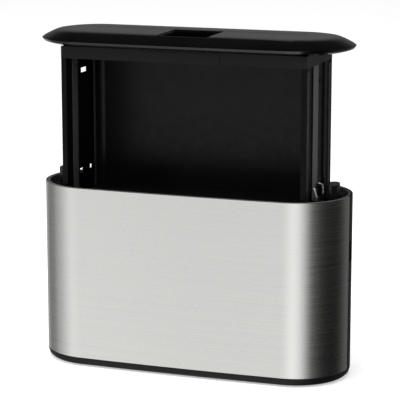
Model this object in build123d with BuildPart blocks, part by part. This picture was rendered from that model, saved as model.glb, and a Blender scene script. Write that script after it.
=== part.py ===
"""Countertop paper towel dispenser, shown with its towel carriage raised.

X runs along the width, Y towards the back and Z up, in millimetres. The origin
is the centre of the plan on the worktop. The carriage with the lid slides down
into the housing by CARRIAGE_TRAVEL.
"""

import os

from build123d import *

# Housing outline
BODY_HALF_WIDTH = 159.7
BODY_HALF_DEPTH = 57.4
SIDE_BOW = 1.7
FOOT_HEIGHT = 1.5
BASE_TOP = 9.25
BASE_BOTTOM_INSET = 3.6
BASE_FLOOR = 3.0
BASE_RIM_WIDTH = 5.0
RIM_Z = 184.0
SEAM_Y = -3.5
SEAM_GAP = 1.0
STEEL_THICKNESS = 0.8
COVER_THICKNESS = 2.2
LINER_THICKNESS = 2.0
SKIN_CLEARANCE = 0.2

# Lid
LID_HALF_WIDTH = 161.0
LID_HALF_DEPTH = 58.0
LID_EDGE_Z = 329.7
LID_TOP_Z = 338.5
LID_UNDERSIDE_Z = 324.0
LID_ROOF = 3.5
LID_UNDERSIDE_INSET = 13.0
GROOVE_HALF_LENGTH = 110.0
GROOVE_Y = 10.0
GROOVE_WIDTH = 1.4
GROOVE_DEPTH = 0.9

# Carriage
CARRIAGE_HALF_WIDTH = 126.5
CARRIAGE_HALF_DEPTH = 44.4
CARRIAGE_BOTTOM_Z = 144.0
COLLAR_BOTTOM_Z = 312.0
COLLAR_WALL = 3.0
CEILING_STEP = 1.5
CEILING_THICKNESS = 3.0
CARRIAGE_TRAVEL = 137.5
SIDE_WALL = 2.9
FACE_RELIEF = 1.1
LIP_WIDTH = 5.5
LIP_DEPTH = 2.4
REAR_LIP_WIDTH = 12.5
CHANNEL_DEPTH = 1.4
CHANNEL_FRONT = -2.0
CHANNEL_BACK = 22.0
STRIP_FRONT = -21.0
PANEL_THICKNESS = 2.4
PANEL_CORNER = 8.0
PANEL_RIBS = 5
RIB_WIDTH = 2.0
TIE_HEIGHT = 8.0

# Racks on the carriage sides
RACK_WIDTH = 7.0
RACK_PITCH = 2.5
RACK_TOOTH = 0.6
RACK_MARGIN = 2.0

# Towel mouth
MOUTH_HALF_WIDTH = 26.0
MOUTH_FRONT = -44.0
MOUTH_BACK = 8.0
MOUTH_WALL = 1.6
MOUTH_FLOOR = 2.0
MOUTH_FLOOR_RISE = 5.5
SLOT_LENGTH = 34.0
SLOT_WIDTH = 15.0
TAB_LEFT = -43.0
TAB_RIGHT = 39.0
TAB_HEIGHT = 10.5
TAB_PROUD = 0.6

# Towel plate and its springs
PLATE_TOP_Z = 175.0
PLATE_HALF_WIDTH = 112.0
PLATE_HALF_DEPTH = 38.0
PLATE_THICKNESS = 3.0
PLATE_SKIRT = 8.0
PLATE_WALL = 2.0
PLATE_CORNER = 7.0
SPRING_X = 60.0
SPRING_RADIUS = 9.0
SPRING_WIRE = 0.8
SPRING_END_GAP = 0.3
SEAT_WALL = 1.8
SEAT_HEIGHT = 8.0
SEAT_FLOOR = 1.5

# Guide towers
TOWER_HALF_WIDTH = 26.0
TOWER_TOP_Z = 194.6
TOWER_OUTER_RADIUS = 45.0
TOWER_PLATE = 2.5
TOWER_WEB = 2.5
TOWER_CAP = 4.0
TOWER_FOOT = 12.0
TOWER_CLEARANCE = 0.5
RIB_CLEARANCE = 0.6
GUIDE_RIB_WIDTH = 7.8
GUIDE_RIB_FOOT = 8.0

# Catch springs
LEAF_THICKNESS = 0.6
LEAF_WIDTH = 10.0
LEAF_Y = -11.0
LEAF_LENGTH = 44.0
LEAF_TAB = 9.0

# Latches with their release buttons
LATCH_Y = 4.0
LATCH_WIDTH = 10.0
PIVOT_X = 133.2
PIVOT_Z = 140.0
PIN_RADIUS = 1.25
PIN_CLEARANCE = 0.05
BOSS_RADIUS = 3.2
NOSE_BOTTOM = 156.6
NOSE_HEIGHT = 2.8
NOSE_CLEARANCE = 0.4
LATCH_HOLE_BOTTOM = 154.8
LATCH_HOLE_HEIGHT = 5.0
BUTTON_BOTTOM = 119.0
BUTTON_HEIGHT = 14.8
BUTTON_SUNK = 3.1
BUTTON_THICKNESS = 2.5
BUTTON_SLOT_BOTTOM = 118.0
BUTTON_SLOT_HEIGHT = 20.0
BUTTON_SLOT_MARGIN = 0.5

# Fasteners and feet
FOOT_RADIUS = 7.0
FOOT_X = 115.0
FOOT_Y = 34.0
SCREW_RADIUS = 1.5
SCREW_HEAD_RADIUS = 3.0
SCREW_HEAD = 1.3
HEAD_RECESS = 0.2
HEAD_CLEARANCE = 0.3
SCREW_CLEARANCE = 0.05
SCREW_GRIP = 8.0
BASE_SCREW_Y = 19.0
BOSS_X = 95.0
BOSS_Y = 28.0
BOSS_WALL = 2.6

# Sizes that follow from the ones above
FLOOR_Z = FOOT_HEIGHT + BASE_FLOOR
CEILING_Z = COLLAR_BOTTOM_Z + CEILING_STEP
CEILING_TOP = CEILING_Z + CEILING_THICKNESS
WALL_OUTER_X = CARRIAGE_HALF_WIDTH - FACE_RELIEF
WALL_INNER_X = WALL_OUTER_X - SIDE_WALL
CHANNEL_X = WALL_OUTER_X - CHANNEL_DEPTH
TOWER_X = CARRIAGE_HALF_WIDTH + TOWER_CLEARANCE
END_CENTRE_X = LID_HALF_WIDTH - LID_HALF_DEPTH
WALL_LENGTH = COLLAR_BOTTOM_Z - CARRIAGE_BOTTOM_Z
LINER_INSET = STEEL_THICKNESS + SKIN_CLEARANCE
REAR_LINER_INSET = COVER_THICKNESS + SKIN_CLEARANCE
REAR_LIP_FACE = CARRIAGE_HALF_DEPTH - LIP_DEPTH


def outline(half_width, half_depth):
    """Adds the plan outline with bowed long sides and round ends to the sketch."""
    chord = half_depth - SIDE_BOW
    corner = half_width - chord - SIDE_BOW
    with BuildLine() as path:
        ThreePointArc((-corner, -chord), (0, -half_depth), (corner, -chord))
        ThreePointArc((corner, -chord), (half_width, 0), (corner, chord))
        ThreePointArc((corner, chord), (0, half_depth), (-corner, chord))
        ThreePointArc((-corner, chord), (-half_width, 0), (-corner, -chord))
    make_face(path.edges())


def body_outline(inset=0.0):
    """Adds the housing outline, moved inwards by the inset."""
    outline(BODY_HALF_WIDTH - inset, BODY_HALF_DEPTH - inset)


def ring(outer_inset, inner_inset, z_low, z_high):
    """Returns the upright ring between two insets of the housing outline."""
    with BuildPart() as wall:
        with BuildSketch(Plane.XY.offset(z_low)):
            body_outline(outer_inset)
        extrude(amount=z_high - z_low)
        with BuildSketch(Plane.XY.offset(z_low)):
            body_outline(inner_inset)
        extrude(amount=z_high - z_low, mode=Mode.SUBTRACT)
    return wall.part


def span_box(low, high):
    """Returns a box between two corners."""
    size = [b - a for a, b in zip(low, high)]
    centre = [(a + b) / 2 for a, b in zip(low, high)]
    return Pos(*centre) * Box(*size, mode=Mode.PRIVATE)


def front_region(edge_y):
    """Returns a block that covers everything in front of a Y value."""
    far = 2 * BODY_HALF_WIDTH
    return span_box((-far, -far, -1), (far, edge_y, LID_TOP_Z + 1))


def button_slots():
    """Returns the two cutters for the release button slots in the end walls."""
    half = LATCH_WIDTH / 2 + BUTTON_SLOT_MARGIN
    z_high = BUTTON_SLOT_BOTTOM + BUTTON_SLOT_HEIGHT
    low = (BODY_HALF_WIDTH - 12, LATCH_Y - half, BUTTON_SLOT_BOTTOM)
    cutter = span_box(low, (BODY_HALF_WIDTH + 2, LATCH_Y + half, z_high))
    return cutter + mirror(cutter, about=Plane.YZ)


def right_and_left(part, right_name, left_name):
    """Exports a right-hand piece and its mirror image."""
    part.label = right_name
    export_step(part, f"parts/{right_name}.step")
    twin = mirror(part, about=Plane.YZ)
    twin.label = left_name
    export_step(twin, f"parts/{left_name}.step")


def base_screw_places():
    """Lists the plan positions of the four screws into the guide towers."""
    x = TOWER_X + SCREW_HEAD_RADIUS + TOWER_PLATE
    return [(sx * x, sy * BASE_SCREW_Y) for sx in (-1, 1) for sy in (-1, 1)]


def lid_screw_places():
    """Lists the plan positions of the four screws into the lid."""
    return [(sx * BOSS_X, sy * BOSS_Y) for sx in (-1, 1) for sy in (-1, 1)]


def build_base_tray():
    """Makes the shallow tray with its rounded bottom edge."""
    rise = BASE_TOP - FOOT_HEIGHT
    with BuildPart() as base_tray:
        for inset, share in ((1.0, 0.0), (0.3, 0.3), (0.0, 0.8)):
            with BuildSketch(Plane.XY.offset(FOOT_HEIGHT + rise * share)):
                body_outline(BASE_BOTTOM_INSET * inset)
        loft(ruled=True)
        with BuildSketch(Plane.XY.offset(FOOT_HEIGHT + rise * 0.8)):
            body_outline()
        extrude(amount=rise * 0.2)
        with BuildSketch(Plane.XY.offset(FLOOR_Z)):
            body_outline(BASE_RIM_WIDTH)
        extrude(amount=rise, mode=Mode.SUBTRACT)
        with Locations(*[(x, y, FOOT_HEIGHT) for x, y in base_screw_places()]):
            Cylinder(SCREW_HEAD_RADIUS + 0.3, SCREW_HEAD + 0.2, mode=Mode.SUBTRACT,
                     align=(Align.CENTER, Align.CENTER, Align.MIN))
            Cylinder(SCREW_RADIUS + SCREW_CLEARANCE, BASE_FLOOR, mode=Mode.SUBTRACT,
                     align=(Align.CENTER, Align.CENTER, Align.MIN))
    base_tray.part.label = "base_tray"
    export_step(base_tray.part, "parts/base_tray.step")


def build_rubber_feet():
    """Makes the four low round feet."""
    with BuildPart() as rubber_feet:
        with Locations(*[(sx * FOOT_X, sy * FOOT_Y) for sx in (-1, 1) for sy in (-1, 1)]):
            Cylinder(FOOT_RADIUS, FOOT_HEIGHT, align=(Align.CENTER, Align.CENTER, Align.MIN))
    rubber_feet.part.label = "rubber_feet"
    export_step(rubber_feet.part, "parts/rubber_feet.step")


def screw(x, y, head_z):
    """Returns an upright screw whose head lies under the given height."""
    with BuildPart() as body:
        with Locations((x, y, head_z - SCREW_HEAD)):
            Cylinder(SCREW_HEAD_RADIUS, SCREW_HEAD,
                     align=(Align.CENTER, Align.CENTER, Align.MIN))
        with Locations((x, y, head_z)):
            Cylinder(SCREW_RADIUS, BASE_FLOOR + SCREW_GRIP,
                     align=(Align.CENTER, Align.CENTER, Align.MIN))
    return body.part


def build_base_screws():
    """Makes the screws that hold the guide towers to the tray."""
    head_z = FOOT_HEIGHT + SCREW_HEAD + 0.2
    screws = [screw(x, y, head_z) for x, y in base_screw_places()]
    base_screws = Compound(children=screws)
    base_screws.label = "base_screws"
    export_step(base_screws, "parts/base_screws.step")


def build_steel_sleeve():
    """Makes the thin steel wrap round the front and both ends."""
    wrap = ring(0.0, STEEL_THICKNESS, BASE_TOP, RIM_Z)
    steel_sleeve = wrap & front_region(SEAM_Y - SEAM_GAP / 2)
    steel_sleeve.label = "steel_sleeve"
    export_step(steel_sleeve, "parts/steel_sleeve.step")


def build_back_cover():
    """Makes the moulded cover of the back half, with the two button slots."""
    wrap = ring(0.0, COVER_THICKNESS, BASE_TOP, RIM_Z)
    back_cover = wrap - front_region(SEAM_Y + SEAM_GAP / 2) - button_slots()
    back_cover.label = "back_cover"
    export_step(back_cover, "parts/back_cover.step")


def build_housing_liner():
    """Makes the inner wall of the housing, stepped back behind the cover."""
    front = ring(LINER_INSET, REAR_LINER_INSET + LINER_THICKNESS, BASE_TOP, RIM_Z)
    back = ring(REAR_LINER_INSET, REAR_LINER_INSET + LINER_THICKNESS, BASE_TOP, RIM_Z)
    region = front_region(SEAM_Y)
    housing_liner = (front & region) + (back - region) - button_slots()
    housing_liner.label = "housing_liner"
    export_step(housing_liner, "parts/housing_liner.step")


def tower_profile():
    """Returns the plan of the right guide tower: a flat inner face, a round outer one."""
    outer_x = END_CENTRE_X + TOWER_OUTER_RADIUS
    with BuildSketch(Plane.XY.offset(FLOOR_Z)) as profile:
        with Locations((END_CENTRE_X, 0)):
            Circle(TOWER_OUTER_RADIUS)
        width = outer_x - TOWER_X
        with Locations((TOWER_X + width / 2, 0)):
            Rectangle(width, 2 * TOWER_HALF_WIDTH, mode=Mode.INTERSECT)
    return profile.sketch


def build_guides():
    """Makes the two guide towers, open to the outside, with the latch bearings."""
    height = TOWER_TOP_Z - FLOOR_Z
    pocket_x = TOWER_X + TOWER_PLATE
    latch_half = LATCH_WIDTH / 2 + TOWER_WEB - 1
    latch_low = LATCH_Y - latch_half
    latch_high = LATCH_Y + latch_half
    inner_edge = TOWER_HALF_WIDTH - TOWER_WEB
    z_low = FLOOR_Z + TOWER_FOOT
    z_high = TOWER_TOP_Z - TOWER_CAP
    far_x = BODY_HALF_WIDTH
    side_x = pocket_x + TOWER_WEB
    rib_z = COLLAR_BOTTOM_Z - CARRIAGE_TRAVEL - TOWER_CLEARANCE
    rib_y = CHANNEL_BACK - RIB_CLEARANCE
    leaf_low = LEAF_Y - LEAF_WIDTH / 2 - SKIN_CLEARANCE
    leaf_high = LEAF_Y + LEAF_WIDTH / 2 + SKIN_CLEARANCE
    leaf_x = TOWER_X + LEAF_THICKNESS + SKIN_CLEARANCE / 2
    nose_half = LATCH_WIDTH / 2 + 1
    with BuildPart() as guide:
        extrude(tower_profile(), amount=height)
        add(span_box((pocket_x, latch_low, z_low), (far_x, latch_high, z_high)),
            mode=Mode.SUBTRACT)
        add(span_box((side_x, -inner_edge, z_low), (far_x, latch_low - TOWER_WEB, z_high)),
            mode=Mode.SUBTRACT)
        add(span_box((side_x, latch_high + TOWER_WEB, z_low), (far_x, inner_edge, z_high)),
            mode=Mode.SUBTRACT)
        add(span_box((CHANNEL_X + RIB_CLEARANCE, rib_y - GUIDE_RIB_WIDTH, FLOOR_Z + GUIDE_RIB_FOOT),
                     (TOWER_X, rib_y, rib_z)))
        add(span_box((TOWER_X - 1, LATCH_Y - nose_half, LATCH_HOLE_BOTTOM - 3),
                     (pocket_x + 1, LATCH_Y + nose_half,
                      LATCH_HOLE_BOTTOM + LATCH_HOLE_HEIGHT + 2)), mode=Mode.SUBTRACT)
        add(span_box((TOWER_X - 0.01, leaf_low, TOWER_TOP_Z - LEAF_LENGTH),
                     (leaf_x, leaf_high, TOWER_TOP_Z + 1)), mode=Mode.SUBTRACT)
        with Locations(Location((PIVOT_X, LATCH_Y, PIVOT_Z), (90, 0, 0))):
            Cylinder(PIN_RADIUS, 2 * (latch_half + TOWER_WEB), mode=Mode.SUBTRACT)
        with Locations(*[(x, y, FLOOR_Z) for x, y in base_screw_places() if x > 0]):
            Cylinder(SCREW_RADIUS + SCREW_CLEARANCE, SCREW_GRIP + 2, mode=Mode.SUBTRACT,
                     align=(Align.CENTER, Align.CENTER, Align.MIN))
    right_and_left(guide.part, "right_guide", "left_guide")


def build_catch_springs():
    """Makes the bent leaf spring in the inner face of each guide tower."""
    low_y = LEAF_Y - LEAF_WIDTH / 2
    high_y = LEAF_Y + LEAF_WIDTH / 2
    low_z = TOWER_TOP_Z - LEAF_LENGTH + SKIN_CLEARANCE
    top_z = TOWER_TOP_Z + LEAF_THICKNESS
    blade_x = TOWER_X + LEAF_THICKNESS
    with BuildPart() as leaf:
        add(span_box((TOWER_X, low_y, low_z), (blade_x, high_y, top_z)))
        add(span_box((TOWER_X, low_y, TOWER_TOP_Z), (blade_x + LEAF_TAB, high_y, top_z)))
    right_and_left(leaf.part, "right_catch_spring", "left_catch_spring")


def build_latches():
    """Makes each latch lever: nose, pivot boss, strap and release button."""
    arm_x = PIVOT_X - 0.8
    nose_x = CHANNEL_X + NOSE_CLEARANCE
    nose_top = NOSE_BOTTOM + NOSE_HEIGHT
    face_x = BODY_HALF_WIDTH - BUTTON_SUNK
    back_x = face_x - BUTTON_THICKNESS
    button_top = BUTTON_BOTTOM + BUTTON_HEIGHT
    with BuildPart() as latch:
        with BuildSketch(Plane.XZ.offset(-LATCH_Y - LATCH_WIDTH / 2)):
            with BuildLine():
                Polyline((nose_x, NOSE_BOTTOM + 0.9), (nose_x + 0.8, NOSE_BOTTOM),
                         (arm_x, NOSE_BOTTOM), (arm_x, PIVOT_Z), (PIVOT_X, PIVOT_Z - BOSS_RADIUS),
                         (back_x - 6, BUTTON_BOTTOM + 5), (back_x, BUTTON_BOTTOM + 5),
                         (back_x, BUTTON_BOTTOM), (face_x, BUTTON_BOTTOM), (face_x, button_top),
                         (back_x, button_top), (back_x, button_top - 4),
                         (back_x - 6, button_top - 4), (PIVOT_X + 3, PIVOT_Z + BOSS_RADIUS),
                         (arm_x + 3, nose_top), (nose_x + 1.6, nose_top),
                         (nose_x, nose_top - 0.8), close=True)
            make_face()
            with Locations((PIVOT_X, PIVOT_Z)):
                Circle(BOSS_RADIUS)
                Circle(PIN_RADIUS + PIN_CLEARANCE, mode=Mode.SUBTRACT)
        extrude(amount=LATCH_WIDTH)
    right_and_left(latch.part, "right_latch", "left_latch")


def build_latch_pins():
    """Makes the pivot pin of each latch."""
    length = LATCH_WIDTH + 2 * (2 * TOWER_WEB - 1)
    with BuildPart() as pin:
        with Locations(Location((PIVOT_X, LATCH_Y, PIVOT_Z), (90, 0, 0))):
            Cylinder(PIN_RADIUS, length)
    right_and_left(pin.part, "right_latch_pin", "left_latch_pin")


def build_spring_seats():
    """Makes the two cups on the tray floor that hold the plate springs."""
    inner = SPRING_RADIUS + SPRING_WIRE + 0.4
    with BuildPart() as spring_seats:
        with Locations((-SPRING_X, 0, FLOOR_Z), (SPRING_X, 0, FLOOR_Z)):
            Cylinder(inner + SEAT_WALL, SEAT_HEIGHT,
                     align=(Align.CENTER, Align.CENTER, Align.MIN))
        with Locations((-SPRING_X, 0, FLOOR_Z + SEAT_FLOOR), (SPRING_X, 0, FLOOR_Z + SEAT_FLOOR)):
            Cylinder(inner, SEAT_HEIGHT, mode=Mode.SUBTRACT,
                     align=(Align.CENTER, Align.CENTER, Align.MIN))
    spring_seats.part.label = "spring_seats"
    export_step(spring_seats.part, "parts/spring_seats.step")


def build_plate_springs():
    """Makes the long springs that push the towel plate up, as their plain outer form."""
    low = FLOOR_Z + SEAT_FLOOR
    height = PLATE_TOP_Z - PLATE_THICKNESS - SPRING_END_GAP - low
    with BuildPart() as spring:
        with BuildSketch(Plane.XY.offset(low)):
            with Locations((SPRING_X, 0)):
                Circle(SPRING_RADIUS + SPRING_WIRE)
                Circle(SPRING_RADIUS - SPRING_WIRE, mode=Mode.SUBTRACT)
        extrude(amount=height)
    right_and_left(spring.part, "right_plate_spring", "left_plate_spring")


def build_towel_plate():
    """Makes the lifting plate with its skirt, finger notch and spring cups."""
    cup = SPRING_RADIUS + SPRING_WIRE + 0.6
    with BuildPart() as towel_plate:
        with BuildSketch(Plane.XY.offset(PLATE_TOP_Z - PLATE_SKIRT)):
            RectangleRounded(2 * PLATE_HALF_WIDTH, 2 * PLATE_HALF_DEPTH, PLATE_CORNER)
        extrude(amount=PLATE_SKIRT)
        with BuildSketch(Plane.XY.offset(PLATE_TOP_Z - PLATE_SKIRT)):
            RectangleRounded(2 * (PLATE_HALF_WIDTH - PLATE_WALL),
                             2 * (PLATE_HALF_DEPTH - PLATE_WALL), PLATE_CORNER - PLATE_WALL)
        extrude(amount=PLATE_SKIRT - PLATE_THICKNESS, mode=Mode.SUBTRACT)
        with BuildSketch(Plane.XY.offset(PLATE_TOP_Z - PLATE_SKIRT)):
            with Locations((-SPRING_X, 0), (SPRING_X, 0)):
                Circle(cup + PLATE_WALL)
                Circle(cup, mode=Mode.SUBTRACT)
        extrude(amount=PLATE_SKIRT - PLATE_THICKNESS)
        with BuildSketch(Plane.XY.offset(PLATE_TOP_Z)):
            with Locations((0, -PLATE_HALF_DEPTH)):
                SlotOverall(44, 16)
        extrude(amount=-PLATE_SKIRT, mode=Mode.SUBTRACT)
    towel_plate.part.label = "towel_plate"
    export_step(towel_plate.part, "parts/towel_plate.step")


def side_profile():
    """Returns the plan of the right carriage side with its lips, strip and channel."""
    depth = 2 * CARRIAGE_HALF_DEPTH
    with BuildSketch(Plane.XY.offset(CARRIAGE_BOTTOM_Z)) as profile:
        with Locations(((WALL_INNER_X + WALL_OUTER_X) / 2, 0)):
            Rectangle(SIDE_WALL, depth)
        for y, width in ((-1, LIP_WIDTH), (1, REAR_LIP_WIDTH)):
            centre_y = y * (CARRIAGE_HALF_DEPTH - LIP_DEPTH / 2)
            with Locations((CARRIAGE_HALF_WIDTH - width / 2, centre_y)):
                Rectangle(width, LIP_DEPTH)
        strip = CHANNEL_FRONT - STRIP_FRONT
        with Locations((CARRIAGE_HALF_WIDTH - FACE_RELIEF / 2, STRIP_FRONT + strip / 2)):
            Rectangle(FACE_RELIEF, strip)
        channel = CHANNEL_BACK - CHANNEL_FRONT
        with Locations((WALL_OUTER_X - CHANNEL_DEPTH / 2, CHANNEL_FRONT + channel / 2)):
            Rectangle(CHANNEL_DEPTH, channel, mode=Mode.SUBTRACT)
        for low_y, high_y in ((-27.0, -14.0), (28.0, 38.5)):
            with Locations((WALL_INNER_X - 0.4, (low_y + high_y) / 2)):
                Rectangle(0.8, high_y - low_y)
    return profile.sketch


def build_carriage_sides():
    """Makes the two side walls with the latch holes and sight holes."""
    low_x = WALL_INNER_X - 2
    high_x = CARRIAGE_HALF_WIDTH + 1
    half = LATCH_WIDTH / 2 + 2.5
    with BuildPart() as side:
        extrude(side_profile(), amount=WALL_LENGTH)
        for lift in (0.0, CARRIAGE_TRAVEL):
            z_low = LATCH_HOLE_BOTTOM + lift
            add(span_box((low_x, LATCH_Y - half, z_low),
                         (high_x, LATCH_Y + half, z_low + LATCH_HOLE_HEIGHT)),
                mode=Mode.SUBTRACT)
        for low_y, high_y in ((-9.0, 0.0), (17.0, 26.0)):
            add(span_box((low_x, low_y, 190.0), (high_x, high_y, 195.0)), mode=Mode.SUBTRACT)
    right_and_left(side.part, "carriage_right_side", "carriage_left_side")


def rack_strip(y_low):
    """Returns one upright rack strip on the right side."""
    base_x = CARRIAGE_HALF_WIDTH - RACK_TOOTH
    z_low = CARRIAGE_BOTTOM_Z + RACK_MARGIN
    count = int((WALL_LENGTH - 2 * RACK_MARGIN) / RACK_PITCH)
    points = [(WALL_OUTER_X, z_low)]
    for index in range(count):
        foot = z_low + index * RACK_PITCH
        points += [(base_x, foot), (CARRIAGE_HALF_WIDTH, foot + RACK_PITCH / 2)]
    end_z = z_low + count * RACK_PITCH
    points += [(base_x, end_z), (WALL_OUTER_X, end_z)]
    with BuildPart() as strip:
        with BuildSketch(Plane.XZ.offset(-y_low - RACK_WIDTH)):
            with BuildLine():
                Polyline(*points, close=True)
            make_face()
        extrude(amount=RACK_WIDTH)
    return strip.part


def build_racks():
    """Makes the front and rear rack strips of both sides."""
    front = rack_strip(-REAR_LIP_FACE)
    rear = rack_strip(REAR_LIP_FACE - RACK_WIDTH)
    right_and_left(Compound(children=[front, rear]), "right_racks", "left_racks")


def build_back_panel():
    """Makes the rear wall of the towel cavity, with round corners and rear ribs."""
    front_y = REAR_LIP_FACE - PANEL_THICKNESS
    half = WALL_INNER_X - 1.0
    corner_x = half - PANEL_CORNER
    corner_y = front_y - PANEL_CORNER
    with BuildPart() as back_panel:
        with BuildSketch(Plane.XY.offset(CARRIAGE_BOTTOM_Z)):
            with Locations((0, front_y + PANEL_THICKNESS / 2)):
                Rectangle(2 * half, PANEL_THICKNESS)
            for side in (-1, 1):
                with Locations((side * (corner_x + PANEL_CORNER / 2), front_y - PANEL_CORNER / 2)):
                    Rectangle(PANEL_CORNER, PANEL_CORNER)
                with Locations((side * corner_x, corner_y)):
                    Circle(PANEL_CORNER, mode=Mode.SUBTRACT)
            with Locations((0, REAR_LIP_FACE + LIP_DEPTH / 2)):
                with GridLocations(2 * corner_x / (PANEL_RIBS + 1), 0, PANEL_RIBS, 1):
                    Rectangle(RIB_WIDTH, LIP_DEPTH)
        extrude(amount=WALL_LENGTH)
    back_panel.part.label = "carriage_back_panel"
    export_step(back_panel.part, "parts/carriage_back_panel.step")


def build_carriage_tie():
    """Makes the low front rail between the side walls."""
    half = CARRIAGE_HALF_WIDTH - LIP_WIDTH
    with BuildPart() as tie:
        add(span_box((-half, -CARRIAGE_HALF_DEPTH, CARRIAGE_BOTTOM_Z),
                     (half, LIP_DEPTH - CARRIAGE_HALF_DEPTH, CARRIAGE_BOTTOM_Z + TIE_HEIGHT)))
        fillet(tie.edges().filter_by(Axis.X).group_by(Axis.Z)[-1], 1.0)
    tie.part.label = "carriage_tie"
    export_step(tie.part, "parts/carriage_tie.step")


def build_top_collar():
    """Makes the collar under the lid with the ceiling of the towel cavity."""
    half_x = CARRIAGE_HALF_WIDTH
    half_y = CARRIAGE_HALF_DEPTH
    with BuildPart() as collar:
        add(span_box((-half_x, -half_y, COLLAR_BOTTOM_Z), (half_x, half_y, LID_UNDERSIDE_Z)))
        inner_x = half_x - COLLAR_WALL
        inner_y = half_y - COLLAR_WALL
        add(span_box((-inner_x, -inner_y, CEILING_TOP), (inner_x, inner_y, LID_UNDERSIDE_Z)),
            mode=Mode.SUBTRACT)
        add(span_box((-inner_x, -inner_y, COLLAR_BOTTOM_Z), (inner_x, inner_y, CEILING_Z)),
            mode=Mode.SUBTRACT)
        hole_x = MOUTH_HALF_WIDTH - MOUTH_WALL - 1.0
        add(span_box((-hole_x, -inner_y + 1, CEILING_Z), (hole_x, MOUTH_BACK - 2, CEILING_TOP)),
            mode=Mode.SUBTRACT)
        with Locations(*[(x, y, CEILING_Z) for x, y in lid_screw_places()]):
            Cylinder(SCREW_RADIUS + SCREW_CLEARANCE, CEILING_THICKNESS, mode=Mode.SUBTRACT,
                     align=(Align.CENTER, Align.CENTER, Align.MIN))
            Cylinder(SCREW_HEAD_RADIUS + HEAD_CLEARANCE, SCREW_HEAD + HEAD_RECESS,
                     mode=Mode.SUBTRACT, align=(Align.CENTER, Align.CENTER, Align.MIN))
    collar.part.label = "top_collar"
    export_step(collar.part, "parts/top_collar.step")


def build_collar_tab():
    """Makes the shallow tab on the front of the collar."""
    with BuildPart() as tab:
        add(span_box((TAB_LEFT, -CARRIAGE_HALF_DEPTH - TAB_PROUD, COLLAR_BOTTOM_Z),
                     (TAB_RIGHT, -CARRIAGE_HALF_DEPTH, COLLAR_BOTTOM_Z + TAB_HEIGHT)))
    tab.part.label = "collar_tab"
    export_step(tab.part, "parts/collar_tab.step")


def lid_sections():
    """Lists inset and height of the lid from its underside over the edge to the top."""
    rise = LID_TOP_Z - LID_EDGE_Z
    drop = LID_EDGE_Z - LID_UNDERSIDE_Z
    under = [(LID_UNDERSIDE_INSET * a, LID_EDGE_Z - drop * b)
             for a, b in ((1.0, 1.0), (0.55, 0.75), (0.15, 0.44))]
    over = [(0.0, LID_EDGE_Z)]
    over += [(LID_UNDERSIDE_INSET * a, LID_EDGE_Z + rise * b)
             for a, b in ((0.15, 0.18), (0.54, 0.49), (0.88, 0.72), (1.15, 0.88),
                          (1.7, 1.0))]
    return under + over


def build_lid_shell():
    """Makes the domed lid with tower pockets, screw bosses, mouth and top groove."""
    roof_z = LID_TOP_Z - LID_ROOF
    pocket_top = TOWER_TOP_Z + LEAF_THICKNESS + CARRIAGE_TRAVEL + 0.9
    pocket_low = TOWER_X - 0.4
    pocket_x = END_CENTRE_X + TOWER_OUTER_RADIUS + 2.5
    with BuildPart() as lid_shell:
        for inset, height in lid_sections():
            with BuildSketch(Plane.XY.offset(height)):
                outline(LID_HALF_WIDTH - inset, LID_HALF_DEPTH - inset)
        loft(ruled=True)
        for side in (-1, 1):
            with BuildSketch(Plane.XY.offset(LID_UNDERSIDE_Z)):
                with Locations((side * END_CENTRE_X, 0)):
                    Circle(TOWER_OUTER_RADIUS + 2.5)
                with Locations((side * (pocket_low + pocket_x) / 2, 0)):
                    Rectangle(pocket_x - pocket_low, 2 * TOWER_HALF_WIDTH + 5,
                              mode=Mode.INTERSECT)
            extrude(amount=pocket_top - LID_UNDERSIDE_Z, mode=Mode.SUBTRACT)
            near = MOUTH_HALF_WIDTH + 4
            far = CARRIAGE_HALF_WIDTH - 2 * COLLAR_WALL - 2
            middle = side * (near + far) / 2
            with BuildSketch(Plane.XY.offset(LID_UNDERSIDE_Z)):
                with Locations((middle, 0)):
                    RectangleRounded(far - near, 2 * (BOSS_Y + 8), 5)
            extrude(amount=roof_z - LID_UNDERSIDE_Z, mode=Mode.SUBTRACT)
        with BuildSketch(Plane.XY.offset(CEILING_TOP)):
            with Locations(*lid_screw_places()):
                Circle(SCREW_RADIUS + BOSS_WALL)
        extrude(amount=roof_z - CEILING_TOP + 1)
        with Locations(*[(x, y, CEILING_TOP) for x, y in lid_screw_places()]):
            Cylinder(SCREW_RADIUS + SCREW_CLEARANCE, SCREW_GRIP + 1, mode=Mode.SUBTRACT,
                     align=(Align.CENTER, Align.CENTER, Align.MIN))
        add(span_box((-MOUTH_HALF_WIDTH, MOUTH_FRONT, LID_UNDERSIDE_Z - 1),
                     (MOUTH_HALF_WIDTH, MOUTH_BACK, LID_TOP_Z + 1)), mode=Mode.SUBTRACT)
        groove_low = GROOVE_Y - GROOVE_WIDTH / 2
        add(span_box((-GROOVE_HALF_LENGTH, groove_low, LID_TOP_Z - GROOVE_DEPTH),
                     (GROOVE_HALF_LENGTH, groove_low + GROOVE_WIDTH, LID_TOP_Z + 1)),
            mode=Mode.SUBTRACT)
    lid_shell.part.label = "lid_shell"
    export_step(lid_shell.part, "parts/lid_shell.step")


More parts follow.
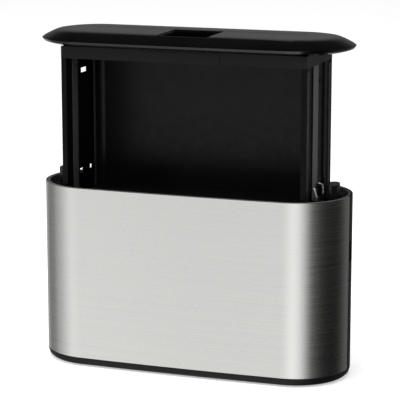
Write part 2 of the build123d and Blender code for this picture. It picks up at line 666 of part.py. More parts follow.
def build_lid_mouth():
    """Makes the glossy insert of the mouth with the slot that towels pass through."""
    gap = 0.3
    half = MOUTH_HALF_WIDTH - gap
    front = MOUTH_FRONT + gap + 2.7
    back = MOUTH_BACK - gap
    floor_z = CEILING_TOP + MOUTH_FLOOR_RISE
    top_z = LID_TOP_Z - 1.2
    inner = half - MOUTH_WALL
    middle_y = (front + back) / 2
    with BuildPart() as mouth:
        add(span_box((-half, front, CEILING_TOP), (half, back, top_z)))
        add(span_box((-inner, front + MOUTH_WALL, floor_z + MOUTH_FLOOR),
                     (inner, back - MOUTH_WALL, top_z)), mode=Mode.SUBTRACT)
        add(span_box((-inner, front + MOUTH_WALL, CEILING_TOP),
                     (inner, back - MOUTH_WALL, floor_z)), mode=Mode.SUBTRACT)
        with BuildSketch(Plane.XY.offset(floor_z)):
            with Locations((0, middle_y)):
                SlotOverall(SLOT_LENGTH, SLOT_WIDTH)
        extrude(amount=MOUTH_FLOOR, mode=Mode.SUBTRACT)
    mouth.part.label = "lid_mouth"
    export_step(mouth.part, "parts/lid_mouth.step")


def build_lid_screws():
    """Makes the screws that hold the collar under the lid."""
    seat_z = CEILING_Z + SCREW_HEAD + HEAD_RECESS
    with BuildPart() as lid_screws:
        with Locations(*[(x, y, seat_z) for x, y in lid_screw_places()]):
            Cylinder(SCREW_HEAD_RADIUS, SCREW_HEAD,
                     align=(Align.CENTER, Align.CENTER, Align.MAX))
            Cylinder(SCREW_RADIUS, SCREW_GRIP,
                     align=(Align.CENTER, Align.CENTER, Align.MIN))
    lid_screws.part.label = "lid_screws"
    export_step(lid_screws.part, "parts/lid_screws.step")


def main():
    """Builds and writes every piece."""
    os.makedirs("parts", exist_ok=True)
    build_base_tray()
    build_rubber_feet()
    build_base_screws()
    build_steel_sleeve()
    build_back_cover()
    build_housing_liner()
    build_guides()
    build_catch_springs()
    build_latches()
    build_latch_pins()
    build_spring_seats()
    build_plate_springs()
    build_towel_plate()
    build_carriage_sides()
    build_racks()
    build_back_panel()
    build_carriage_tie()
    build_top_collar()
    build_collar_tab()
    build_lid_shell()
    build_lid_mouth()
    build_lid_screws()


main()
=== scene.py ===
"""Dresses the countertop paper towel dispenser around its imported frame."""

import logging
import math
from collections.abc import Iterable
from dataclasses import dataclass
from enum import Enum

import bpy
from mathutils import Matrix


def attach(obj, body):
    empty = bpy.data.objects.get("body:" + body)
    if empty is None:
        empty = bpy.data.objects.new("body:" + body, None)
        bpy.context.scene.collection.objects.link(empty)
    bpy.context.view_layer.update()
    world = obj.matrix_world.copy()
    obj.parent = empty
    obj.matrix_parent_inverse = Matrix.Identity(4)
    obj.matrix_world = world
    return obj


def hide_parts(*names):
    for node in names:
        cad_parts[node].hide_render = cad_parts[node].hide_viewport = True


LOG = logging.getLogger("towel_dispenser")
MM = 0.001
PHOTO_PX = 400.0

# Bump heights in metres, and how smooth a polished top layer is
GRAIN_HEIGHT = 0.00012
STREAK_HEIGHT = 0.00006
COAT_ROUGHNESS = 0.04

# Lengths in millimetres and angles in degrees
WELD_GAP = 0.002
FLAT_ANGLE = 0.6
EDGE_ANGLE = 38.0
SMOOTH_ANGLE = 32.0
WRAP_ANGLE = 40.0
CLIP_ANGLE = 50.0
CUT_MARGIN = 1.0
POST_SIDES = 40

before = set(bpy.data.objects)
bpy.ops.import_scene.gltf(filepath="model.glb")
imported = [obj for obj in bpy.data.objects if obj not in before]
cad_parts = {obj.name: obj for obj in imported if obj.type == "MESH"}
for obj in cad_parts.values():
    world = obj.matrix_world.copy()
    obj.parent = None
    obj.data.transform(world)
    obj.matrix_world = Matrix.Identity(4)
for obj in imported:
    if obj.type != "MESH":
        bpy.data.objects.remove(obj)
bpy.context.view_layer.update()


class Body(Enum):
    """The rigid bodies that pieces ride on."""

    HOUSING = "housing"
    CARRIAGE = "carriage"
    PLATE = "plate"
    LEFT_LEVER = "left_lever"
    RIGHT_LEVER = "right_lever"


# Finishes


@dataclass(frozen=True)
class Plastic:
    """Moulded plastic with a fine grain and a slightly uneven sheen.

    Args:
        name: Material name.
        colour: Linear base colour.
        roughness: Mean roughness.
        grain: Strength of the moulded grain.
        grain_scale: How fine the grain is, as a noise scale.
        coat: Weight of the polished top layer.
        specular: Specular level.
        painted_light_bands: Painted light: lighter upright strips drawn into the colour where
            light falls,
        each as the least and greatest distance from the middle along the width, the least and
        greatest depth, in millimetres, and a level.
    """

    name: str
    colour: tuple[float, float, float]
    roughness: float = 0.42
    grain: float = 0.08
    grain_scale: float = 2600.0
    coat: float = 0.0
    specular: float = 0.5
    painted_light_bands: tuple[tuple[float, float, float, float, float], ...] = ()

    def material(self) -> bpy.types.Material:
        """Builds the node material.

        Returns:
            The finished material.
        """
        made = bpy.data.materials.get(self.name)
        if made is not None:
            return made
        made, tree, shader, place = new_material(self.name)
        shader.inputs["Specular IOR Level"].default_value = self.specular
        shader.inputs["Coat Weight"].default_value = self.coat
        shader.inputs["Coat Roughness"].default_value = COAT_ROUGHNESS
        cloud = noise(tree, place, 22.0, 3.0)
        dark = tuple(0.82 * part for part in self.colour)
        light = tuple(min(1.0, 1.2 * part + 0.001) for part in self.colour)
        ramp(tree, cloud, shader.inputs["Base Color"], [(0.3, dark), (0.72, light)])
        # Paint the lighter strips that stand in for light falling on the surface.
        for painted_band in self.painted_light_bands:
            paint_light_band(tree, place, shader, painted_band)
        scuff = noise(tree, place, 160.0, 4.0)
        low, high = self.roughness * 0.86, min(1.0, self.roughness * 1.16)
        ramp(tree, scuff, shader.inputs["Roughness"], [(0.3, (low,) * 3), (0.7, (high,) * 3)])
        grain = noise(tree, place, self.grain_scale, 2.0)
        bump(tree, grain, shader, self.grain, GRAIN_HEIGHT)
        return made


@dataclass(frozen=True)
class BrushedSteel:
    """Sheet steel brushed along the width, with faint streaks.

    Args:
        name: Material name.
        colour: Linear reflectance.
        roughness: Mean roughness.
        stretch: Streak frequencies along X, Y and Z.
        metallic: Share of mirror-like metal, where the rest is satin.
    """

    name: str
    colour: tuple[float, float, float] = (0.70, 0.705, 0.68)
    roughness: float = 0.27
    stretch: tuple[float, float, float] = (5.0, 5.0, 2600.0)
    metallic: float = 1.0

    def material(self) -> bpy.types.Material:
        """Builds the node material.

        Returns:
            The finished material.
        """
        made = bpy.data.materials.get(self.name)
        if made is not None:
            return made
        made, tree, shader, place = new_material(self.name)
        shader.inputs["Metallic"].default_value = self.metallic
        mapping = tree.nodes.new("ShaderNodeMapping")
        mapping.inputs["Scale"].default_value = self.stretch
        tree.links.new(place, mapping.inputs["Vector"])
        streak = noise(tree, mapping.outputs["Vector"], 1.0, 3.0)
        dark = tuple(0.93 * part for part in self.colour)
        light = tuple(1.05 * part for part in self.colour)
        ramp(tree, streak, shader.inputs["Base Color"], [(0.32, dark), (0.68, light)])
        low, high = self.roughness * 0.85, self.roughness * 1.2
        ramp(tree, streak, shader.inputs["Roughness"], [(0.3, (low,) * 3), (0.7, (high,) * 3)])
        bump(tree, streak, shader, 0.06, STREAK_HEIGHT)
        return made


class ColourMix:
    """The colour sockets of a Mix node by plain names."""

    def __init__(self, node: bpy.types.Node) -> None:
        """Sets the node to colours and keeps its colour sockets."""
        node.data_type = "RGBA"
        colours = [item for item in node.inputs if item.type == "RGBA"]
        self.inputs = {"Factor": node.inputs[0], "A": colours[0], "B": colours[1]}
        self.outputs = {"Result": next(i for i in node.outputs if i.type == "RGBA")}


def new_material(name: str) -> tuple:
    """Starts a node material that reads Object coordinates.

    Args:
        name: Material name.

    Returns:
        The material, its tree, its shader and the coordinate socket.
    """
    made = bpy.data.materials.new(name)
    made.use_nodes = True
    tree = made.node_tree
    shader = next(node for node in tree.nodes if node.type == "BSDF_PRINCIPLED")
    place = tree.nodes.new("ShaderNodeTexCoord").outputs["Object"]
    return made, tree, shader, place


def noise(tree: bpy.types.NodeTree, vector: bpy.types.NodeSocket, scale: float,
          detail: float) -> bpy.types.NodeSocket:
    """Adds a noise texture.

    Args:
        tree: The material's tree.
        vector: Coordinates to read.
        scale: Noise scale.
        detail: Noise detail.

    Returns:
        Its factor socket.
    """
    node = tree.nodes.new("ShaderNodeTexNoise")
    node.inputs["Scale"].default_value = scale
    node.inputs["Detail"].default_value = detail
    tree.links.new(vector, node.inputs["Vector"])
    return node.outputs["Fac"]


def ramp(tree: bpy.types.NodeTree, source: bpy.types.NodeSocket, target: bpy.types.NodeSocket,
         stops: list[tuple[float, tuple]]) -> None:
    """Maps a factor through a colour ramp into a socket.

    Args:
        tree: The tree to add to.
        source: The factor.
        target: The socket that takes the colour.
        stops: Place and colour of each stop.
    """
    node = tree.nodes.new("ShaderNodeValToRGB")
    elements = node.color_ramp.elements
    while len(elements) < len(stops):
        elements.new(0.5)
    for element, (position, colour) in zip(elements, stops):
        element.position = position
        element.color = (*colour, 1.0)
    tree.links.new(source, node.inputs["Fac"])
    tree.links.new(node.outputs["Color"], target)


def within(tree: bpy.types.NodeTree, source: bpy.types.NodeSocket, low: float,
           high: float) -> bpy.types.NodeSocket:
    """Tests whether a coordinate lies between two places in millimetres.

    Args:
        tree: The material's tree.
        source: The coordinate.
        low: The lower place.
        high: The upper place.

    Returns:
        A socket that is 1 inside and 0 outside.
    """
    node = tree.nodes.new("ShaderNodeMath")
    node.operation = "COMPARE"
    node.inputs[1].default_value = (low + high) / 2 * MM
    node.inputs[2].default_value = (high - low) / 2 * MM
    tree.links.new(source, node.inputs[0])
    return node.outputs["Value"]


def paint_light_band(tree: bpy.types.NodeTree, place: bpy.types.NodeSocket, shader: bpy.types.Node,
            painted_band: tuple[float, float, float, float, float]) -> None:
    """Paints light onto an upright strip of a finish by lightening its colour there.

    Args:
        tree: The material's tree.
        place: The coordinate socket.
        shader: The shader whose base colour changes.
        painted_band: Least and greatest distance from the middle along the width, least and
        greatest depth, in millimetres, and the level of the painted light.
    """
    x_low, x_high, y_low, y_high, level = painted_band
    split = tree.nodes.new("ShaderNodeSeparateXYZ")
    tree.links.new(place, split.inputs["Vector"])
    width = tree.nodes.new("ShaderNodeMath")
    width.operation = "ABSOLUTE"
    tree.links.new(split.outputs["X"], width.inputs[0])
    both = tree.nodes.new("ShaderNodeMath")
    both.operation = "MULTIPLY"
    tree.links.new(within(tree, width.outputs["Value"], x_low, x_high), both.inputs[0])
    tree.links.new(within(tree, split.outputs["Y"], y_low, y_high), both.inputs[1])
    mixer = ColourMix(tree.nodes.new("ShaderNodeMix"))
    before = shader.inputs["Base Color"].links[0].from_socket
    tree.links.new(both.outputs["Value"], mixer.inputs["Factor"])
    tree.links.new(before, mixer.inputs["A"])
    # Inside the strip the colour is set to a lighter level: painted light.
    mixer.inputs["B"].default_value = (level, level, level, 1.0)
    tree.links.new(mixer.outputs["Result"], shader.inputs["Base Color"])


def bump(tree: bpy.types.NodeTree, height: bpy.types.NodeSocket, shader: bpy.types.Node,
         strength: float, distance: float) -> None:
    """Bumps a shader by a height.

    Args:
        tree: The material's tree.
        height: Socket of the height.
        shader: The shader.
        strength: Bump strength.
        distance: Bump height in metres.
    """
    node = tree.nodes.new("ShaderNodeBump")
    node.inputs["Strength"].default_value = strength
    node.inputs["Distance"].default_value = distance
    tree.links.new(height, node.inputs["Height"])
    tree.links.new(node.outputs["Normal"], shader.inputs["Normal"])


STEEL = BrushedSteel("brushed_sheet_steel")
SPRING_STEEL = BrushedSteel("spring_steel", colour=(0.86, 0.86, 0.85), roughness=0.45,
                            stretch=(900.0, 900.0, 20.0))
# The clip's finish is a near-white satin with no metal. It is a painted glint that stands in
# for the bright reflections on its arms.
CLIP_PAINTED_GLINT = BrushedSteel("clip_painted_glint", colour=(0.95, 0.95, 0.94), roughness=0.5,
                          stretch=(900.0, 900.0, 20.0), metallic=0.0)
SCREW_STEEL = BrushedSteel("screw_steel", colour=(0.5, 0.5, 0.5), roughness=0.34)
HOUSING_PLASTIC = Plastic("housing_plastic", (0.006, 0.006, 0.0062), 0.42, 0.10, specular=0.2)
LINER_PLASTIC = Plastic("liner_plastic", (0.10, 0.10, 0.102), 0.6, 0.35, 1500.0,
                        specular=0.3)
CARRIAGE_PLASTIC = Plastic("carriage_plastic", (0.0025, 0.0025, 0.0026), 0.34, 0.04,
                           specular=0.11)
RACK_PLASTIC = Plastic("rack_plastic", (0.012, 0.012, 0.0123), 0.25, 0.0, specular=0.3)
# The wall's lighter strips are painted light: a fold and the ribs and rear corner of each wall
# are drawn lighter where light falls on them.
WALL_PLASTIC = Plastic("wall_plastic", (0.0015, 0.0015, 0.0016), 0.34, 0.03, specular=0.1,
                       painted_light_bands=((126.2, 127.0, -21.7, -4.0, 0.07),
                              (110.0, 124.6, -27.0, -14.0, 0.05),
                              (110.0, 124.6, 28.0, 41.0, 0.04)))
POST_PLASTIC = Plastic("post_plastic", (0.006, 0.006, 0.0062), 0.3, 0.05, specular=0.4)
COLLAR_PLASTIC = Plastic("collar_plastic", (0.0085, 0.0085, 0.0087), 0.3, 0.03, specular=0.12)
PLATE_PLASTIC = Plastic("plate_plastic", (0.005, 0.005, 0.0052), 0.4, 0.06, specular=0.3)
PANEL_PLASTIC = Plastic("panel_plastic", (0.0045, 0.0045, 0.0047), 0.34, 0.0, specular=0.2)
LID_PLASTIC = Plastic("lid_plastic", (0.001, 0.001, 0.0011), 0.14, 0.01, 3200.0, 0.3)
MOUTH_PLASTIC = Plastic("mouth_plastic", (0.001, 0.001, 0.0011), 0.12, 0.01, 3200.0, 0.3)
RUBBER = Plastic("foot_rubber", (0.02, 0.02, 0.02), 0.85, 0.3, 900.0)


# Small modelling helpers


def clear_selection() -> None:
    """Deselects every object."""
    bpy.ops.object.select_all(action="DESELECT")


def activate(piece: bpy.types.Object) -> None:
    """Makes one object the only selected and active one."""
    clear_selection()
    piece.select_set(True)
    bpy.context.view_layer.objects.active = piece


def apply_modifier(piece: bpy.types.Object, kind: str, **settings) -> None:
    """Adds a modifier with these settings and applies it.

    Args:
        piece: The object.
        kind: Type of the modifier.
        **settings: Its properties by name.
    """
    activate(piece)
    modifier = piece.modifiers.new(kind.lower(), kind)
    for key, value in settings.items():
        setattr(modifier, key, value)
    bpy.ops.object.modifier_apply(modifier=modifier.name)


def settle(piece: bpy.types.Object, name: str, body: Body,
           finish: Plastic | BrushedSteel, nodes: Iterable[str] = (),
           angle: float = 35.0) -> bpy.types.Object:
    """Finishes a piece: place in its mesh, smooth shading, material and ride, and hides the
    CAD nodes that it stands for.

    Args:
        piece: The modelled object.
        name: Its name.
        body: The body it rides on.
        finish: Its finish.
        nodes: The CAD nodes that it stands for.
        angle: Angle up to which edges are shaded smooth, in degrees.

    Returns:
        The piece.
    """
    activate(piece)
    bpy.ops.object.transform_apply(location=True, rotation=True, scale=True)
    bpy.ops.object.shade_smooth_by_angle(angle=math.radians(angle))
    apply_modifier(piece, "WEIGHTED_NORMAL", keep_sharp=True, weight=50)
    piece.name = name
    piece.data.name = name
    piece.data.materials.clear()
    piece.data.materials.append(finish.material())
    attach(piece, body.value)
    for node in nodes:
        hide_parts(node)
    LOG.info("%s on %s, %d faces", name, body.value, len(piece.data.polygons))
    return piece


def copy_node(node: str) -> bpy.types.Object:
    """Copies a CAD node and joins its triangles into plain faces.

    Args:
        node: The CAD node.

    Returns:
        The copy.
    """
    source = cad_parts[node]
    piece = source.copy()
    piece.data = source.data.copy()
    bpy.context.scene.collection.objects.link(piece)
    piece.parent = None
    piece.matrix_world = source.matrix_world.copy()
    piece.hide_render = False
    activate(piece)
    bpy.ops.object.mode_set(mode="EDIT")
    bpy.ops.mesh.select_all(action="SELECT")
    bpy.ops.mesh.remove_doubles(threshold=WELD_GAP * MM)
    bpy.ops.mesh.customdata_custom_splitnormals_clear()
    bpy.ops.mesh.dissolve_limited(angle_limit=math.radians(FLAT_ANGLE))
    bpy.ops.object.mode_set(mode="OBJECT")
    return piece


def soften(node: str, name: str, body: Body, finish: Plastic | BrushedSteel,
           width: float = 0.35, segments: int = 2) -> bpy.types.Object:
    """Copies a CAD node and rounds its edges as a moulding's are.

    Args:
        node: The CAD node.
        name: Name of the new piece.
        body: The body it rides on.
        finish: Its finish.
        width: Edge radius in millimetres.
        segments: Steps across each rounded edge.

    Returns:
        The new piece.
    """
    piece = copy_node(node)
    apply_modifier(piece, "BEVEL", width=width * MM, segments=segments, limit_method="ANGLE",
                   angle_limit=math.radians(EDGE_ANGLE), use_clamp_overlap=True,
                   harden_normals=False)
    return settle(piece, name, body, finish, (node,), SMOOTH_ANGLE)


def dress_node(node: str, finish: Plastic | BrushedSteel) -> None:
    """Gives a CAD node that stays in view its finish.

    Args:
        node: The CAD node.
        finish: Its finish.
    """
    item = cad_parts[node]
    for place in item.material_slots:
        place.material = finish.material()


@dataclass
class Oval:
    """The plan outline: bowed long sides and round ends, sizes in millimetres.

    Args:
        half_width: Half the width.
        half_depth: Half the depth.
        bow: How far a long side's middle stands out from its ends.
        per_quarter: Points in a quarter of the outline.
    """

    half_width: float
    half_depth: float
    bow: float = 1.7
    per_quarter: int = 36

    def point(self, index: int) -> tuple[float, float]:
        """Gives one of the points round the outline.

        Args:
            index: Number of the point, counted anticlockwise from the front middle.

        Returns:
            X and Y in millimetres.
        """
        chord = self.half_depth - self.bow
        corner = self.half_width - chord - self.bow
        sagitta = self.half_width - corner
        radius = (chord * chord + sagitta * sagitta) / (2 * sagitta)
        centre = self.half_width - radius
        quarter, step = divmod(index % (4 * self.per_quarter), self.per_quarter)
        side = self.per_quarter // 3
        if step < side:
            x = corner * step / side
            y = -(chord + self.bow * (1 - (x / corner) ** 2))
        else:
            start = math.atan2(-chord, corner - centre)
            angle = start * (1 - (step - side) / (self.per_quarter - side))
            x, y = centre + radius * math.cos(angle), radius * math.sin(angle)
        return x, y

    def loop(self) -> list[tuple[float, float]]:
        """Lists the points round the whole outline, anticlockwise."""
        quarter = [self.point(index) for index in range(self.per_quarter)]
        end = [(self.half_width, 0.0)]
        right = quarter + end + [(x, -y) for x, y in reversed(quarter[1:])]
        left = [(-x, -y) for x, y in right]
        return right + left


def oval_face(outline: Oval, height: float) -> bpy.types.Object:
    """Adds a flat face with the plan outline, facing up.

    Args:
        outline: The outline.
        height: Its height in millimetres.

    Returns:
        The new object.
    """
    points = outline.loop()
    clear_selection()
    bpy.ops.mesh.primitive_circle_add(vertices=len(points), radius=0.1, fill_type="NGON",
                                      location=(0, 0, 0))
    piece = bpy.context.object
    loop = piece.data.polygons[0].vertices
    for vertex, (x, y) in zip(loop, points):
        piece.data.vertices[vertex].co = (x * MM, y * MM, height * MM)
    return piece


def block(low: tuple, high: tuple) -> bpy.types.Object:
    """Adds a box between two corners in millimetres, as a cutter.

    Args:
        low: The lower corner.
        high: The upper corner.

    Returns:
        The new object.
    """
    clear_selection()
    middle = [(a + b) / 2 * MM for a, b in zip(low, high)]
    bpy.ops.mesh.primitive_cube_add(size=1.0, location=middle)
    piece = bpy.context.object
    bpy.ops.transform.resize(value=[(b - a) * MM for a, b in zip(low, high)])
    bpy.ops.object.transform_apply(location=True, rotation=True, scale=True)
    return piece


def cut(piece: bpy.types.Object, cutter: bpy.types.Object) -> None:
    """Takes a cutter out of a piece and deletes the cutter.

    Args:
        piece: The piece.
        cutter: What is taken out of it.
    """
    apply_modifier(piece, "BOOLEAN", operation="DIFFERENCE", object=cutter, solver="EXACT")
    bpy.data.objects.remove(cutter)


# Sub-assemblies


@dataclass
class Housing:
    """The standing part: steel wrap, rear cover, liner, tray and guides, in millimetres."""

    half_width: float = 159.7
    half_depth: float = 57.4
    base_top: float = 9.25
    rim: float = 184.0
    seam: float = -3.5
    seam_gap: float = 1.0
    steel: float = 0.8
    guide_inner: float = 127.0
    guide_outer: float = 148.0
    guide_half: float = 26.0
    guide_top: float = 194.6
    shoulder: float = 182.0
    post_inner: float = 134.0
    post_front: float = -12.0
    post_back: float = 13.0
    post_inset: float = 0.3
    post_edge: float = 0.9
    clip_gap: float = 0.2
    clip_depth: float = 1.3
    clip_sheet: float = 0.7
    clip_edge: float = 0.15
    wrap_edge: float = 0.22

    def build(self) -> None:
        """Builds and dresses every piece of the housing."""
        self.build_wrap()
        self.build_tray()
        self.build_cover()
        soften("housing_liner", "liner_wall", Body.HOUSING, LINER_PLASTIC, 0.5)
        for side in ("left", "right"):
            self.build_guide(side)
            self.build_clip(side)
            dress_node(f"{side}_latch_pin", SCREW_STEEL)
            dress_node(f"{side}_plate_spring", SPRING_STEEL)
        dress_node("rubber_feet", RUBBER)
        dress_node("base_screws", SCREW_STEEL)
        dress_node("spring_seats", HOUSING_PLASTIC)

    def build_guide(self, side: str) -> None:
        """Builds a guide tower that ends in a narrow rounded post above a shoulder.

        Args:
            side: left or right.
        """
        sign = 1 if side == "right" else -1
        tower = copy_node(f"{side}_guide")
        near_x, far_x = self.guide_inner - CUT_MARGIN, self.guide_outer + 3 * CUT_MARGIN
        left, right = sorted((sign * near_x, sign * far_x))
        far = self.guide_half + CUT_MARGIN
        over = self.guide_top + CUT_MARGIN
        cut(tower, block((left, -far, self.shoulder), (right, far, over)))
        post = self.build_post(sign)
        apply_modifier(tower, "BOOLEAN", operation="UNION", object=post, solver="EXACT")
        bpy.data.objects.remove(post)
        apply_modifier(tower, "BEVEL", width=self.post_edge * MM, segments=3,
                       limit_method="ANGLE", angle_limit=math.radians(EDGE_ANGLE),
                       use_clamp_overlap=True)
        settle(tower, f"{side}_guide_tower", Body.HOUSING, POST_PLASTIC,
               (f"{side}_guide",), SMOOTH_ANGLE)

    def build_post(self, sign: int) -> bpy.types.Object:
        """Builds the oval post that stands on a guide's shoulder.

        Args:
            sign: 1 for the right post and -1 for the left one.

        Returns:
            The post, which reaches a little into the tower.
        """
        outer = self.guide_outer - self.post_inset
        height = self.guide_top - self.shoulder + CUT_MARGIN
        middle = (sign * (self.post_inner + outer) / 2 * MM,
                  (self.post_front + self.post_back) / 2 * MM,
                  (self.guide_top - height / 2) * MM)
        clear_selection()
        bpy.ops.mesh.primitive_cylinder_add(vertices=POST_SIDES, radius=1.0, depth=1.0,
                                            location=middle)
        post = bpy.context.object
        half_x = (outer - self.post_inner) / 2
        half_y = (self.post_back - self.post_front) / 2
        bpy.ops.transform.resize(value=(half_x * MM, half_y * MM, height * MM))
        bpy.ops.object.transform_apply(location=True, rotation=True, scale=True)
        return post

    def build_clip(self, side: str) -> None:
        """Builds the two arms of the bent clip beside a guide post, whose near-white finish is
        a painted glint.

        Args:
            side: left or right.
        """
        sign = 1 if side == "right" else -1
        root = self.shoulder - CUT_MARGIN
        front_arm = [(-20.6, 193.0), (-9.5, root)]
        rear_arm = [(12.0, root), (12.0, 185.0), (10.0, 191.0), (0.6, 193.8), (-1.6, 194.8)]
        start_x = self.guide_inner + self.clip_gap
        piece = self.ribbon(front_arm + rear_arm, sign * start_x, sign * self.clip_depth)
        apply_modifier(piece, "SOLIDIFY", thickness=self.clip_sheet * MM, offset=0.0)
        apply_modifier(piece, "BEVEL", width=self.clip_edge * MM, segments=2,
                       limit_method="ANGLE", angle_limit=math.radians(CLIP_ANGLE))
        settle(piece, f"{side}_clip", Body.HOUSING, CLIP_PAINTED_GLINT,
               (f"{side}_catch_spring",))

    def ribbon(self, path: list[tuple[float, float]], start_x: float,
               depth: float) -> bpy.types.Object:
        """Draws a strip of sheet that follows a path across the depth and height.

        Args:
            path: Points as depth and height.
            start_x: Where the strip's near edge lies.
            depth: Its reach along the width, and as much again towards the back.

        Returns:
            The strip, without thickness.
        """
        clear_selection()
        bpy.ops.mesh.primitive_plane_add(size=0.01, location=(0, 0, 0))
        piece = bpy.context.object
        bpy.ops.object.mode_set(mode="EDIT")
        bpy.ops.mesh.delete(type="ONLY_FACE")
        bpy.ops.mesh.select_all(action="SELECT")
        bpy.ops.mesh.merge(type="CENTER")
        bpy.ops.transform.translate(value=(start_x * MM, path[0][0] * MM, path[0][1] * MM))
        for (y_from, z_from), (y_to, z_to) in zip(path, path[1:]):
            move = (0, (y_to - y_from) * MM, (z_to - z_from) * MM)
            bpy.ops.mesh.extrude_region_move(TRANSFORM_OT_translate={"value": move})
        bpy.ops.mesh.select_all(action="SELECT")
        bpy.ops.mesh.extrude_region_move(TRANSFORM_OT_translate={
            "value": (depth * MM, abs(depth) * MM, 0)})
        bpy.ops.object.mode_set(mode="OBJECT")
        return piece

    def shell(self, inset: float, low: float, high: float) -> bpy.types.Object:
        """Makes the open upright wall of the outline.

        Args:
            inset: Distance inwards from the housing outline.
            low: Height of the lower edge.
            high: Height of the upper edge.

        Returns:
            The wall, without thickness.
        """
        outline = Oval(self.half_width - inset, self.half_depth - inset)
        piece = oval_face(outline, low)
        activate(piece)
        bpy.ops.object.mode_set(mode="EDIT")
        bpy.ops.mesh.select_all(action="SELECT")
        bpy.ops.mesh.delete(type="ONLY_FACE")
        bpy.ops.mesh.select_all(action="SELECT")
        bpy.ops.mesh.extrude_region_move(
            TRANSFORM_OT_translate={"value": (0, 0, (high - low) * MM)})
        bpy.ops.mesh.select_all(action="SELECT")
        bpy.ops.mesh.normals_make_consistent(inside=False)
        bpy.ops.object.mode_set(mode="OBJECT")
        return piece

    def split(self, piece: bpy.types.Object, y: float, keep_front: bool) -> None:
        """Cuts a wall along an upright plane across the depth and keeps one side.

        Args:
            piece: The wall.
            y: Depth of the plane.
            keep_front: Whether the front side stays.
        """
        activate(piece)
        bpy.ops.object.mode_set(mode="EDIT")
        bpy.ops.mesh.select_all(action="SELECT")
        bpy.ops.mesh.bisect(plane_co=(0, y * MM, 0), plane_no=(0, 1, 0),
                            clear_outer=keep_front, clear_inner=not keep_front)
        bpy.ops.object.mode_set(mode="OBJECT")

    def build_wrap(self) -> None:
        """Builds the steel wrap with its eased edges."""
        wrap = self.shell(0.0, self.base_top, self.rim)
        self.split(wrap, self.seam - self.seam_gap / 2, True)
        apply_modifier(wrap, "SOLIDIFY", thickness=self.steel * MM, offset=-1.0)
        apply_modifier(wrap, "BEVEL", width=self.wrap_edge * MM, segments=2,
                       limit_method="ANGLE", angle_limit=math.radians(WRAP_ANGLE))
        settle(wrap, "steel_wrap", Body.HOUSING, STEEL, ("steel_sleeve",))

    def build_cover(self) -> None:
        """Rounds the edges of the rear cover."""
        soften("back_cover", "rear_cover", Body.HOUSING, HOUSING_PLASTIC, 0.6, 3)

    def build_tray(self) -> None:
        """Rounds the edges of the tray."""
        soften("base_tray", "tray", Body.HOUSING, HOUSING_PLASTIC, 0.3)


class Carriage:
    """The sliding part: side walls, rear panel, collar and lid."""

    def build(self) -> None:
        """Builds and dresses every piece of the carriage."""
        for side in ("left", "right"):
            soften(f"carriage_{side}_side", f"{side}_wall", Body.CARRIAGE, WALL_PLASTIC, 0.3)
            dress_node(f"{side}_racks", RACK_PLASTIC)
        soften("carriage_back_panel", "rear_panel", Body.CARRIAGE, PANEL_PLASTIC, 0.3)
        soften("carriage_tie", "front_tie", Body.CARRIAGE, CARRIAGE_PLASTIC, 0.3)
        soften("top_collar", "collar", Body.CARRIAGE, COLLAR_PLASTIC, 0.4)
        soften("collar_tab", "front_tab", Body.CARRIAGE, COLLAR_PLASTIC, 0.12)
        soften("lid_mouth", "mouth_insert", Body.CARRIAGE, MOUTH_PLASTIC, 0.6, 3)
        dress_node("lid_screws", SCREW_STEEL)
        soften("lid_shell", "lid", Body.CARRIAGE, LID_PLASTIC, 0.5, 3)


class Plate:
    """The towel plate on its springs."""

    def build(self) -> None:
        """Builds and dresses the plate."""
        soften("towel_plate", "lift_plate", Body.PLATE, PLATE_PLASTIC, 0.5, 3)


class Levers:
    """The two latch levers with their release buttons."""

    def build(self) -> None:
        """Builds and dresses both levers."""
        soften("left_latch", "left_lever_piece", Body.LEFT_LEVER, HOUSING_PLASTIC, 0.3)
        soften("right_latch", "right_lever_piece", Body.RIGHT_LEVER, HOUSING_PLASTIC, 0.3)


# Studio


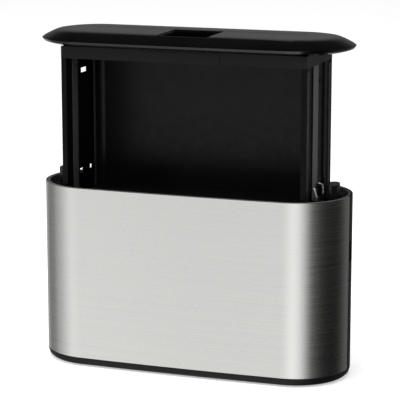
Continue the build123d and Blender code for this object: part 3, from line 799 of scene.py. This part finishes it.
@dataclass
class Studio:
    """The pale floor, the soft light and the camera."""

    focal_px: float = 1832.6
    sensor: float = 36.0
    eye: tuple[float, float, float] = (0.603716, -1.698300, 0.542720)
    tilt: float = 78.278
    turn: float = 19.461
    target: tuple[float, float, float] = (0.0, 0.0, 0.17)
    floor_tone: float = 0.82
    floor_glow: float = 0.42
    ambient: float = 0.62
    skyline_high: float = 0.02
    skyline_low: float = -0.08

    def build(self) -> None:
        """Builds the whole studio."""
        self.build_camera()
        self.build_floor()
        self.build_lamps()
        self.build_world()
        bpy.context.scene.view_settings.view_transform = "Standard"

    def build_camera(self) -> None:
        """Sets the camera at the photograph's angle."""
        data = bpy.data.cameras.new("viewpoint")
        data.sensor_width = self.sensor
        data.lens = self.focal_px / PHOTO_PX * self.sensor
        data.clip_end = 50.0
        camera = bpy.data.objects.new("viewpoint", data)
        camera.location = self.eye
        camera.rotation_euler = (math.radians(self.tilt), 0.0, math.radians(self.turn))
        bpy.context.scene.collection.objects.link(camera)
        bpy.context.scene.camera = camera

    def build_floor(self) -> None:
        """Lays the pale floor, which keeps the shadow and stays out of reflections."""
        clear_selection()
        bpy.ops.mesh.primitive_plane_add(size=30.0, location=(0, 0, 0))
        floor = bpy.context.object
        floor.name = "pale_floor"
        floor.visible_glossy = False
        made = bpy.data.materials.new("pale_floor")
        made.use_nodes = True
        tree = made.node_tree
        tree.nodes.clear()
        out = tree.nodes.new("ShaderNodeOutputMaterial")
        matt = tree.nodes.new("ShaderNodeBsdfDiffuse")
        matt.inputs["Color"].default_value = (*(self.floor_tone,) * 3, 1.0)
        glow = tree.nodes.new("ShaderNodeEmission")
        path = tree.nodes.new("ShaderNodeLightPath")
        lift = tree.nodes.new("ShaderNodeMath")
        lift.operation = "MULTIPLY"
        lift.inputs[1].default_value = self.floor_glow
        both = tree.nodes.new("ShaderNodeAddShader")
        tree.links.new(path.outputs["Is Camera Ray"], lift.inputs[0])
        tree.links.new(lift.outputs["Value"], glow.inputs["Strength"])
        tree.links.new(matt.outputs["BSDF"], both.inputs[0])
        tree.links.new(glow.outputs["Emission"], both.inputs[1])
        tree.links.new(both.outputs["Shader"], out.inputs["Surface"])
        floor.data.materials.append(made)

    def lamp(self, name: str, place: tuple, size: tuple, power: float, glossy: bool) -> None:
        """Hangs a soft rectangular lamp that points at the object.

        Args:
            name: Lamp name.
            place: Its place in metres.
            size: Width and height in metres.
            power: Power in watts.
            glossy: Whether shiny surfaces show it.
        """
        data = bpy.data.lights.new(name, "AREA")
        data.shape = "RECTANGLE"
        data.size, data.size_y = size
        data.energy = power
        lamp = bpy.data.objects.new(name, data)
        lamp.location = place
        aim = [target - start for target, start in zip(self.target, place)]
        lamp.rotation_euler = aim_rotation(aim)
        lamp.visible_glossy = glossy
        bpy.context.scene.collection.objects.link(lamp)

    def build_lamps(self) -> None:
        """Hangs the main lamp overhead and the two fills."""
        self.lamp("overhead", (-0.3, -0.5, 2.2), (1.8, 1.6), 34.0, False)
        self.lamp("left_fill", (-1.8, -1.2, 1.1), (1.2, 1.4), 14.0, False)
        self.lamp("right_fill", (1.9, -0.6, 1.0), (1.0, 1.2), 7.0, False)

    def build_world(self) -> None:
        """Surrounds the scene with a pale ground and a darker studio for reflections."""
        world = bpy.data.worlds.new("studio")
        bpy.context.scene.world = world
        world.use_nodes = True
        tree = world.node_tree
        tree.nodes.clear()
        out = tree.nodes.new("ShaderNodeOutputWorld")
        back = tree.nodes.new("ShaderNodeBackground")
        place = tree.nodes.new("ShaderNodeTexCoord").outputs["Generated"]
        path = tree.nodes.new("ShaderNodeLightPath")
        sweep = tree.nodes.new("ShaderNodeTexGradient")
        sweep.gradient_type = "RADIAL"
        tree.links.new(place, sweep.inputs["Vector"])
        low = ColourMix(tree.nodes.new("ShaderNodeMix"))
        ramp(tree, sweep.outputs["Fac"], low.inputs["B"], self.around())
        split = tree.nodes.new("ShaderNodeSeparateXYZ")
        tree.links.new(place, split.inputs["Vector"])
        high = tree.nodes.new("ShaderNodeMapRange")
        high.inputs["From Min"].default_value = self.skyline_high
        high.inputs["From Max"].default_value = self.skyline_low
        tree.links.new(split.outputs["Z"], high.inputs["Value"])
        tree.links.new(high.outputs["Result"], low.inputs["Factor"])
        ramp(tree, split.outputs["Z"], low.inputs["A"], [
            (0.0, (0.16,) * 3), (0.12, (0.14,) * 3), (0.3, (0.12,) * 3), (0.55, (0.03,) * 3),
            (1.0, (0.02,) * 3)])
        shine = ColourMix(tree.nodes.new("ShaderNodeMix"))
        shine.inputs["A"].default_value = (*(self.ambient,) * 3, 1.0)
        tree.links.new(path.outputs["Is Glossy Ray"], shine.inputs["Factor"])
        tree.links.new(low.outputs["Result"], shine.inputs["B"])
        seen = ColourMix(tree.nodes.new("ShaderNodeMix"))
        tree.links.new(path.outputs["Is Camera Ray"], seen.inputs["Factor"])
        tree.links.new(shine.outputs["Result"], seen.inputs["A"])
        seen.inputs["B"].default_value = (1.0, 1.0, 1.0, 1.0)
        tree.links.new(seen.outputs["Result"], back.inputs["Color"])
        tree.links.new(back.outputs["Background"], out.inputs["Surface"])

    def around(self) -> list[tuple[float, tuple]]:
        """Lists how bright the low studio is round the object, by share of a turn."""
        levels = [(0.0, 0.45), (0.04, 0.55), (0.08, 0.80), (0.122, 1.12), (0.17, 1.05),
                  (0.20, 0.92), (0.24, 1.03), (0.275, 1.35), (0.31, 1.25), (0.345, 0.75),
                  (0.385, 0.10), (0.45, 0.012), (0.51, 0.004), (0.565, 0.006), (0.606, 0.05),
                  (0.647, 0.14), (0.688, 0.1), (0.78, 0.3), (0.878, 0.6), (0.917, 0.2),
                  (0.958, 0.25)]
        return [(place, (level,) * 3) for place, level in levels]


def aim_rotation(aim: list[float]) -> tuple[float, float, float]:
    """Turns an aim vector into the rotation of a lamp.

    Args:
        aim: Vector from the lamp to its target.

    Returns:
        Euler angles.
    """
    flat = math.hypot(aim[0], aim[1])
    return math.atan2(flat, -aim[2]), 0.0, math.atan2(aim[0], -aim[1]) + math.pi


def main() -> None:
    """Builds the sub-assemblies in order."""
    Studio().build()
    Housing().build()
    Carriage().build()
    Plate().build()
    Levers().build()


if __name__ == "__main__":
    logging.basicConfig(level=logging.INFO)
    main()
